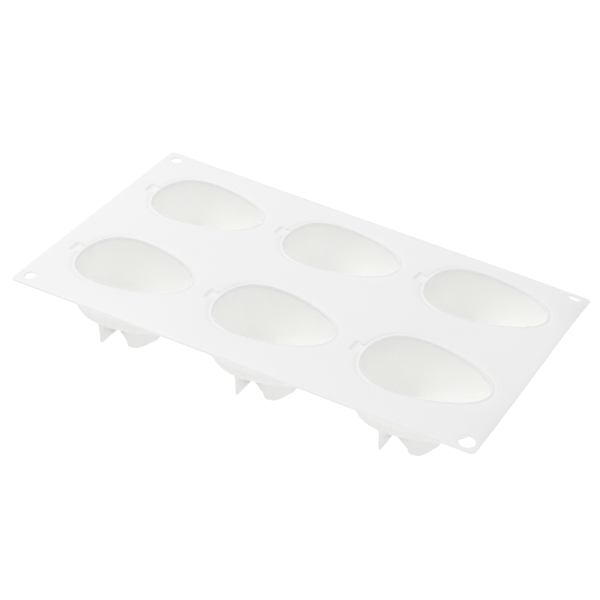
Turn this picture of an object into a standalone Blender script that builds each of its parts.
"""Soft silicone soap mould: a thin flat deck with two rows of three egg-shaped cups, each on its
own rib foot. The deck is in three panels, and the outer two hang on the fold lines between columns.

Metres, +Z up. The origin is on the table plane, under the middle of the deck.
+X runs along the deck's long side, from the cups' broad ends to their narrow ends.
The front row is on the -Y side and the left column on the -X side.
Each cup's own origin is on the table plane, and EGG_, NOTCH_, BOWL_ and FOOT_ places are from it.
"""

import math

import bmesh
import bpy
from mathutils import Vector
from mathutils.bvhtree import BVHTree

# ---- deck ------------------------------------------------------------------------------------
DECK_X = 0.300            # long side
DECK_Y = 0.175            # short side
DECK_T = 0.0012           # thickness
DECK_TOP = 0.048          # top face above the table
DECK_CORNER_R = 0.004     # rounding of the four corners
DECK_CORNER_STEPS = 5
GAP = 0.0003              # clearance between neighbouring solids
FOLD_GAP = 0.0008         # clearance across a fold line, so that the deck can fold 50 degrees
CUT_MARGIN = 0.001        # cutters reach this far beyond both faces of the deck

HOLE_X = 0.1415           # hanging holes, from the middle of the deck
HOLE_Y = 0.0795
HOLE_R = 0.0034
HOLE_R_LARGE = 0.0044     # the front right hole is larger
HOLE_SEGMENTS = 24

# ---- mouth of a cup --------------------------------------------------------------------------
EGG_X = 0.0040            # middle of the mouth outline
EGG_A = 0.0407            # half length of the mouth
EGG_B = 0.0275            # half width across the middle of the mouth
EGG_K = 0.0070            # how much wider the -X end is than the +X end
EGG_Q = 0.0042            # how much blunter both ends are than an ellipse

NOTCH_OUT = 0.0417        # distance to the notch's far end, which is on the -X side
NOTCH_W = 0.0048          # half width of the notch
NOTCH_R = 0.0018          # rounding of its two corners
NOTCH_DROP = 0.0012       # extra depth of its floor at the far end

RING = 36                 # points round a mouth
NOTCH_POINTS = 6          # of which these are in the notch
NOTCH_HALVINGS = 60       # halvings in the search for the notch's side

# ---- rim -------------------------------------------------------------------------------------
RIM_OUT = 0.0010          # distance from the mouth outline out to the rim's outer wall
RIM_T = 0.0012            # thickness under the gutter
RIM_MID_DROP = 0.7        # share of the notch's drop halfway across the rim's underside
GUTTER_Z = 0.0010         # depth of the gutter below the deck
GUTTER_W = 0.0016         # distance from the mouth outline to the gutter's inner corner
GUTTER_SLOPE = 0.0004     # the gutter's outer side reaches this far either way of the outline
RIDGE_Z = 0.0002          # the ridge's crest is this much below the deck
RIDGE_IN = 0.0029         # distance from the mouth outline to the cavity
RIDGE_SLOPE = 0.0005      # width of the slope from gutter to crest

# ---- bowl ------------------------------------------------------------------------------------
WALL = 0.0013             # thickness
BOWL_TOP = DECK_TOP - GUTTER_Z - RIM_T - GAP
BOWL_DEPTH = 0.0402       # inside depth below the deck's top face
BOWL_M = 4.0              # fullness of the side
BOWL_N = 2.3              # fullness of the floor
BOWL_X = -0.0095          # lowest point
BOWL_LEVELS = (0.0, 0.34, 0.58, 0.76, 0.885, 0.96)   # rings, as shares of the depth

# ---- foot: a cross bar and a fan-shaped loop of two straight ribs and a curved one -----------
FOOT_WALL = 0.0018        # thickness of the ribs
FOOT_BAR_X0 = -0.0090     # cross bar
FOOT_BAR_X1 = FOOT_BAR_X0 + FOOT_WALL
FOOT_BAR_Y = 0.0216       # half length of the cross bar
FOOT_BAR_BEVEL = 0.0006   # bevel at the bar's ends
FOOT_R = 0.0260           # outside radius of the curved rib
FOOT_CENTRE = Vector((-0.0076, 0.0))   # centre of the curved rib
FOOT_ANGLE = math.radians(34.0)        # spread of each straight rib from the long axis
FOOT_Y0 = 0.0043          # where a straight rib's outer side leaves the bar
FOOT_CORNER = 0.0042      # rounding between straight and curved rib
FOOT_LIP = 0.0010         # how far the curved rib's end stands proud of the straight rib
FOOT_LIP_LENGTH = 0.0022  # straight length of that proud part
FOOT_OUTER_STEPS = 5      # steps round the loop's rounded corner, outside
FOOT_INNER_STEPS = 3      # and inside
FOOT_ARC_STEPS = 5        # steps along half of the curved rib
FOOT_STEP = 0.0018        # longest edge along the ribs, so that their top follows the bowl

# ---- places ----------------------------------------------------------------------------------
PITCH_X = 0.0961          # cup spacing along X
PITCH_Y = 0.0823          # cup spacing along Y
ROWS = {"front": -0.5 * PITCH_Y, "back": 0.5 * PITCH_Y}
COLUMNS = {"left": -PITCH_X, "middle": 0.0, "right": PITCH_X}
FOLD_LEFT = (-PITCH_X + EGG_X + EGG_A - NOTCH_OUT) / 2   # middle of the web between two columns
FOLD_RIGHT = FOLD_LEFT + PITCH_X
FOLD_Z = DECK_TOP - DECK_T / 2
PANELS = {                # -X and +X edge of each deck panel
    "left": (-DECK_X / 2, FOLD_LEFT - FOLD_GAP / 2),
    "middle": (FOLD_LEFT + FOLD_GAP / 2, FOLD_RIGHT - FOLD_GAP / 2),
    "right": (FOLD_RIGHT + FOLD_GAP / 2, DECK_X / 2),
}

# ---- look ------------------------------------------------------------------------------------
SILICONE = (0.86, 0.87, 0.86)
SHARP_ANGLE = math.radians(35.0)   # edges steeper than this are shaded sharp


# ---- scene helpers ---------------------------------------------------------------------------
def clear():
    for obj in list(bpy.data.objects):
        bpy.data.objects.remove(obj, do_unlink=True)


def silicone(name, roughness):
    mat = bpy.data.materials.new(name)
    mat.use_nodes = True
    inputs = mat.node_tree.nodes["Principled BSDF"].inputs
    inputs["Base Color"].default_value = (*SILICONE, 1.0)
    inputs["Roughness"].default_value = roughness
    inputs["Metallic"].default_value = 0.0
    return mat


def shade(mesh):
    mesh.shade_smooth()
    mesh.set_sharp_from_angle(angle=SHARP_ANGLE)


def finish_mesh(name, bm, mat=None):
    """Turns a bmesh into a clean, shaded mesh and frees it."""
    bmesh.ops.remove_doubles(bm, verts=bm.verts, dist=1e-7)
    bmesh.ops.recalc_face_normals(bm, faces=bm.faces)
    mesh = bpy.data.meshes.new(name)
    bm.to_mesh(mesh)
    bm.free()
    if mat:
        mesh.materials.append(mat)
    shade(mesh)
    return mesh


def link(name, data, location=(0, 0, 0), parent=None):
    """Adds an object at a place given from the scene's origin."""
    obj = bpy.data.objects.new(name, data)
    bpy.context.collection.objects.link(obj)
    obj.location = location
    if parent:
        obj.parent = parent
        obj.location = Vector(location) - parent.location
    return obj


# ---- solid helpers ---------------------------------------------------------------------------
def skin(rings, poles=(), closed=False):
    """Quads from each ring to the next, and to the first again if closed.

    Each pole is (ring index, point) and closes that ring with a fan of triangles.
    """
    bm = bmesh.new()
    loops = [[bm.verts.new(point) for point in ring] for ring in rings]
    following = loops[1:] + (loops[:1] if closed else [])
    for a, b in zip(loops, following):
        for i in range(RING):
            j = (i + 1) % RING
            bm.faces.new((a[i], a[j], b[j], b[i]))
    for index, point in poles:
        loop = loops[index]
        tip = bm.verts.new(point)
        for i in range(RING):
            bm.faces.new((loop[i], loop[(i + 1) % RING], tip))
    return bm


def prism(outline, z0, z1, hole=None):
    """Upright prism from z0 to z1 over an outline, with an optional hole of any point count."""
    bm = bmesh.new()
    edges = []
    for loop in [outline] + ([hole] if hole else []):
        verts = [bm.verts.new((x, y, z0)) for x, y in loop]
        edges += [bm.edges.new(pair) for pair in zip(verts, verts[1:] + verts[:1])]
    bmesh.ops.triangle_fill(
        bm, use_beauty=True, use_dissolve=False, edges=edges, normal=(0, 0, -1))
    made = bmesh.ops.extrude_face_region(bm, geom=list(bm.faces))
    moved = [part for part in made["geom"] if isinstance(part, bmesh.types.BMVert)]
    bmesh.ops.translate(bm, verts=moved, vec=(0, 0, z1 - z0))
    return bm


def deck_cutter(name, outline):
    """Helper prism that reaches through the deck."""
    bm = prism(outline, DECK_TOP - DECK_T - CUT_MARGIN, DECK_TOP + CUT_MARGIN)
    obj = link(name, finish_mesh(name, bm))
    obj.hide_render = True
    return obj


def cut(target, cutters):
    """Cuts each cutter out of the target, applies the cuts and removes the cutters."""
    for cutter in cutters:
        mod = target.modifiers.new("cut", "BOOLEAN")
        mod.operation = "DIFFERENCE"
        mod.solver = "EXACT"
        mod.object = cutter
    bpy.context.view_layer.update()
    evaluated = target.evaluated_get(bpy.context.evaluated_depsgraph_get())
    mesh = bpy.data.meshes.new_from_object(evaluated)
    target.modifiers.clear()
    target.data = mesh
    shade(mesh)
    for cutter in cutters:
        bpy.data.objects.remove(cutter, do_unlink=True)


# ---- outlines of the mouth -------------------------------------------------------------------
def egg(theta, grow=0.0):
    """Point of the mouth outline at theta, moved outwards along its normal by grow."""
    c, s = math.cos(theta), math.sin(theta)
    half_width = EGG_B - EGG_K * c + EGG_Q * c * c
    x = EGG_X + EGG_A * c
    y = half_width * s
    tangent_x = -EGG_A * s
    tangent_y = (EGG_K * s - 2 * EGG_Q * c * s) * s + half_width * c
    length = math.hypot(tangent_x, tangent_y)
    return Vector((x + grow * tangent_y / length, y - grow * tangent_x / length))


def notch_theta(grow):
    """Angle at which the notch's side meets the mouth outline."""
    low, high = math.pi / 2, math.pi
    for _ in range(NOTCH_HALVINGS):
        mid = (low + high) / 2
        if egg(mid, grow).y > NOTCH_W + grow:
            low = mid
        else:
            high = mid
    return (low + high) / 2


def egg_thetas(limit):
    """Angles of the points outside the notch, from -limit to limit."""
    count = RING - NOTCH_POINTS
    return [-limit + 2 * limit * i / (count - 1) for i in range(count)]


def mouth(grow):
    """Mouth outline with its notch, moved outwards by grow."""
    points = [egg(theta, grow) for theta in egg_thetas(notch_theta(grow))]
    radius = NOTCH_R + grow
    centre_x = -NOTCH_OUT - grow + radius
    centre_y = NOTCH_W + grow - radius
    steps = NOTCH_POINTS // 2 - 1
    corner = []
    for i in range(steps + 1):
        angle = math.pi / 2 + (math.pi / 2) * i / steps
        x = centre_x + radius * math.cos(angle)
        corner.append((x, centre_y + radius * math.sin(angle)))
    points += [Vector((x, y)) for x, y in corner]
    points += [Vector((x, -y)) for x, y in reversed(corner)]
    return points


def plain_egg(grow):
    """Egg outline without the notch, with the same point count as mouth()."""
    limit = notch_theta(0.0)
    step = (2 * math.pi - 2 * limit) / (NOTCH_POINTS + 1)
    behind = [limit + step * (i + 1) for i in range(NOTCH_POINTS)]
    return [egg(theta, grow) for theta in egg_thetas(limit) + behind]


# ---- the rim ---------------------------------------------------------------------------------
def rim_mesh():
    """Ring between deck and bowl: outer wall, gutter with the notch, ridge round the cavity."""
    floor = DECK_TOP - GUTTER_Z
    crest = DECK_TOP - RIDGE_Z
    under = floor - RIM_T
    outer = mouth(RIM_OUT)
    halfway = [(a + b) / 2 for a, b in zip(outer, plain_egg(0.0))]
    sections = (    # outline, height, extra depth in the notch
        (outer, DECK_TOP, 0.0),
        (mouth(GUTTER_SLOPE), DECK_TOP, 0.0),
        (mouth(-GUTTER_SLOPE), floor, NOTCH_DROP),
        (plain_egg(-GUTTER_W), floor, 0.0),
        (plain_egg(-GUTTER_W - RIDGE_SLOPE), crest, 0.0),
        (plain_egg(-RIDGE_IN), crest, 0.0),
        (plain_egg(-RIDGE_IN), under, 0.0),
        (halfway, under, NOTCH_DROP * RIM_MID_DROP),
        (outer, under, NOTCH_DROP),
    )
    first_notch_point = RING - NOTCH_POINTS
    rings = [
        [(x, y, z - (drop if i >= first_notch_point else 0.0)) for i, (x, y) in enumerate(outline)]
        for outline, z, drop in sections
    ]
    return skin(rings, closed=True)


# ---- the bowl --------------------------------------------------------------------------------
def bowl_surface(outwards):
    """Rings from the bowl's top downwards, and the lowest point.

    The surface lies outwards of the cavity's by the given distance.
    """
    outline = plain_egg(-RIDGE_IN + outwards)
    centre = Vector((BOWL_X, 0.0))
    bottom = DECK_TOP - BOWL_DEPTH - outwards
    depth = BOWL_TOP - bottom
    rings = []
    for level in BOWL_LEVELS:
        scale = (1 - level ** BOWL_M) ** (1 / BOWL_N)
        z = BOWL_TOP - level * depth
        rings.append([(*(centre + (point - centre) * scale), z) for point in outline])
    return rings, (BOWL_X, 0.0, bottom)


def bowl_mesh():
    """Shell of inner surface, top annulus and outer surface."""
    inside, inside_pole = bowl_surface(0.0)
    outside, outside_pole = bowl_surface(WALL)
    return skin(inside[::-1] + outside, poles=((0, inside_pole), (-1, outside_pole)))


def bowl_underside():
    """The bowl's outer surface, one gap larger, as a tree that a ray from below can meet."""
    rings, pole = bowl_surface(WALL + GAP)
    bm = skin(rings, poles=((-1, pole),))
    tree = BVHTree.FromBMesh(bm)
    bm.free()
    return tree


# ---- the foot --------------------------------------------------------------------------------
# Directions of the straight rib on the -Y side: along it to +X, and square to it, outwards.
RIB_ALONG = Vector((math.cos(FOOT_ANGLE), -math.sin(FOOT_ANGLE)))
RIB_OUT = Vector((-math.sin(FOOT_ANGLE), -math.cos(FOOT_ANGLE)))


def polar(centre, radius, angle):
    return centre + Vector((math.cos(angle), math.sin(angle))) * radius


def fan_end(line_start, corner_r, arc_r, corner_steps):
    """Rounded corner from a straight rib's line into the curved rib, then on to its middle."""
    # the corner's centre lies corner_r inside the line and arc_r - corner_r from FOOT_CENTRE
    base = line_start - RIB_OUT * corner_r
    rel = base - FOOT_CENTRE
    along = rel.dot(RIB_ALONG)
    reach = -along + math.sqrt(along * along - rel.dot(rel) + (arc_r - corner_r) ** 2)
    corner = base + RIB_ALONG * reach
    start = math.atan2(RIB_OUT.y, RIB_OUT.x)
    end = math.atan2((corner - FOOT_CENTRE).y, (corner - FOOT_CENTRE).x)
    points = [
        polar(corner, corner_r, start + (end - start) * i / corner_steps)
        for i in range(corner_steps + 1)
    ]
    for i in range(1, FOOT_ARC_STEPS):
        points.append(polar(FOOT_CENTRE, arc_r, end * (1 - i / FOOT_ARC_STEPS)))
    return points


def mirrored(half, arc_r):
    """A -Y half outline, the curved rib's middle point, and the half's mirror image."""
    middle = FOOT_CENTRE + Vector((arc_r, 0))
    return half + [middle] + [Vector((x, -y)) for x, y in reversed(half)]


def foot_outline():
    """Outside of the cross bar and the rib loop."""
    start = Vector((FOOT_BAR_X1, -FOOT_Y0))
    end = fan_end(start + RIB_OUT * FOOT_LIP, FOOT_CORNER, FOOT_R, FOOT_OUTER_STEPS)
    lip = end[0] - RIB_ALONG * FOOT_LIP_LENGTH
    half = [
        Vector((FOOT_BAR_X0, -FOOT_BAR_Y + FOOT_BAR_BEVEL)),
        Vector((FOOT_BAR_X0 + FOOT_BAR_BEVEL, -FOOT_BAR_Y)),
        Vector((FOOT_BAR_X1 - FOOT_BAR_BEVEL, -FOOT_BAR_Y)),
        Vector((FOOT_BAR_X1, -FOOT_BAR_Y + FOOT_BAR_BEVEL)),
        start,
        lip - RIB_OUT * FOOT_LIP,
        lip,
    ]
    return mirrored(half + end, FOOT_R)


def foot_hole():
    """Inside of the rib loop."""
    start = Vector((FOOT_BAR_X1, -(FOOT_Y0 - FOOT_WALL / math.cos(FOOT_ANGLE))))
    radius = FOOT_R - FOOT_WALL
    end = fan_end(start, FOOT_CORNER - FOOT_WALL, radius, FOOT_INNER_STEPS)
    return mirrored([start] + end, radius)


def stepped(outline):
    """The same outline with no edge longer than FOOT_STEP."""
    points = []
    for a, b in zip(outline, outline[1:] + outline[:1]):
        count = max(1, math.ceil((b - a).length / FOOT_STEP))
        points += [a + (b - a) * (i / count) for i in range(count)]
    return points


def foot_mesh():
    """Upright ribs from the table to the bowl's underside."""
    tree = bowl_underside()
    rough_top = DECK_TOP / 2
    bm = prism(stepped(foot_outline()), 0.0, rough_top, stepped(foot_hole()))
    for v in bm.verts:
        if v.co.z > rough_top / 2:
            hit = tree.ray_cast(Vector((v.co.x, v.co.y, -0.001)), Vector((0, 0, 1)))[0]
            if hit is None:
                raise ValueError("a rib of the foot reaches beyond the bowl")
            v.co.z = hit.z
    return bm


# ---- the deck --------------------------------------------------------------------------------
def panel_outline(column):
    """Outline of one deck panel; only the deck's own outer corners are rounded."""
    x0, x1 = PANELS[column]
    y_edge = DECK_Y / 2
    corners = (    # x, y, start angle of the rounding, panel that has it rounded
        (x1, -y_edge, -90, "right"),
        (x1, y_edge, 0, "right"),
        (x0, y_edge, 90, "left"),
        (x0, -y_edge, 180, "left"),
    )
    r = DECK_CORNER_R
    points = []
    for x, y, start, rounded_on in corners:
        if column != rounded_on:
            points.append(Vector((x, y)))
            continue
        centre_x = x - math.copysign(r, x)
        centre_y = y - math.copysign(r, y)
        for i in range(DECK_CORNER_STEPS + 1):
            angle = math.radians(start + 90 * i / DECK_CORNER_STEPS)
            points.append(
                Vector((centre_x + r * math.cos(angle), centre_y + r * math.sin(angle))))
    return points


def hole_outline(row, column):
    """Circle of the hanging hole at one corner of the deck."""
    hole_x = HOLE_X if column == "right" else -HOLE_X
    hole_y = HOLE_Y if row == "back" else -HOLE_Y
    r = HOLE_R_LARGE if (row, column) == ("front", "right") else HOLE_R
    angles = [2 * math.pi * i / HOLE_SEGMENTS for i in range(HOLE_SEGMENTS)]
    return [(hole_x + r * math.cos(a), hole_y + r * math.sin(a)) for a in angles]


def deck_panel(column, mat, fold):
    name = f"deck_{column}"
    bm = prism(panel_outline(column), DECK_TOP - DECK_T, DECK_TOP)
    panel = link(name, finish_mesh(name, bm, mat))
    cutters = []
    opening = mouth(RIM_OUT + GAP)
    for row, cup_y in ROWS.items():
        moved = [(x + COLUMNS[column], y + cup_y) for x, y in opening]
        cutters.append(deck_cutter("opening_cutter", moved))
        if column != "middle":
            cutters.append(deck_cutter("hole_cutter", hole_outline(row, column)))
    cut(panel, cutters)
    if fold:
        # the panel's origin goes to the fold line it turns about
        for v in panel.data.vertices:
            v.co -= fold.location
        panel.parent = fold


def main():
    clear()
    deck_mat = silicone("silicone", roughness=0.45)
    rim_mat = silicone("silicone_rim", roughness=0.42)
    bowl_mat = silicone("silicone_bowl", roughness=0.38)
    foot_mat = silicone("silicone_foot", roughness=0.48)

    folds = {
        "left": link("fold_left_axis", None, (FOLD_LEFT, 0.0, FOLD_Z)),
        "middle": None,
        "right": link("fold_right_axis", None, (FOLD_RIGHT, 0.0, FOLD_Z)),
    }
    for column, fold in folds.items():
        deck_panel(column, deck_mat, fold)

    # all six cups share these meshes
    meshes = {
        "rim": finish_mesh("rim", rim_mesh(), rim_mat),
        "cup": finish_mesh("cup", bowl_mesh(), bowl_mat),
        "foot": finish_mesh("foot", foot_mesh(), foot_mat),
    }
    for row, y in ROWS.items():
        for column, x in COLUMNS.items():
            for kind, mesh in meshes.items():
                link(f"{kind}_{row}_{column}", mesh, (x, y, 0.0), folds[column])


main()
